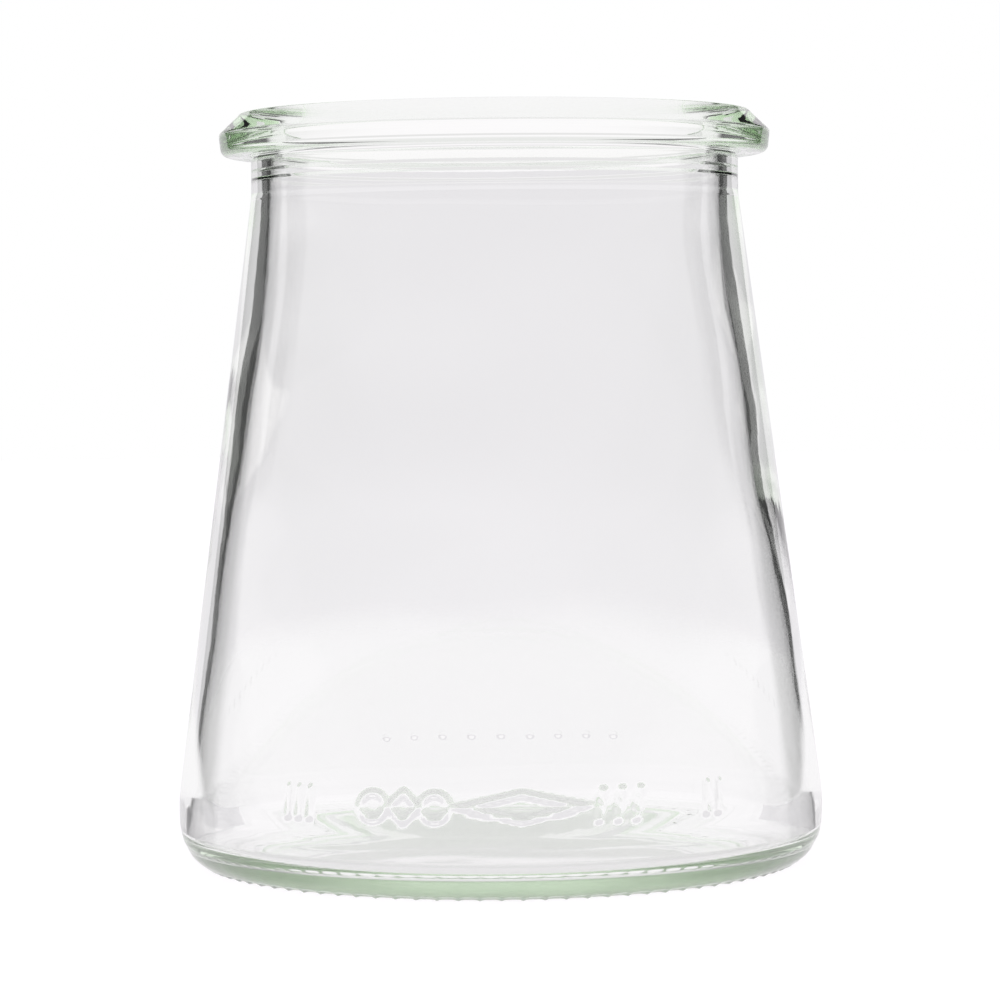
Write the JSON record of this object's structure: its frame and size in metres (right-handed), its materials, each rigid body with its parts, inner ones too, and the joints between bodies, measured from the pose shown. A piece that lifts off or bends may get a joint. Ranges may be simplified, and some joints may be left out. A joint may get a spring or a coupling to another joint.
{
  "type": "preserving jar",
  "caption": "Open glass preserving jar, flared towards its base, with a beaded rim, a flat sealing lip and a fluted foot ring.",
  "frame": {"origin": "centre of the flat ring that the jar stands on, at the level of the surface", "axes": "+Z along the jar's axis, from the foot to the mouth; +X and +Y are free, because the jar is round"},
  "size_m": [0.0788, 0.0788, 0.0912],
  "materials": {
    "clear_glass": "clear moulded soda-lime glass, smooth, faint green tint where it is thick"
  },
  "bodies": {
    "root": {"glass_jar": "clear_glass"}
  },
  "joints": []
}
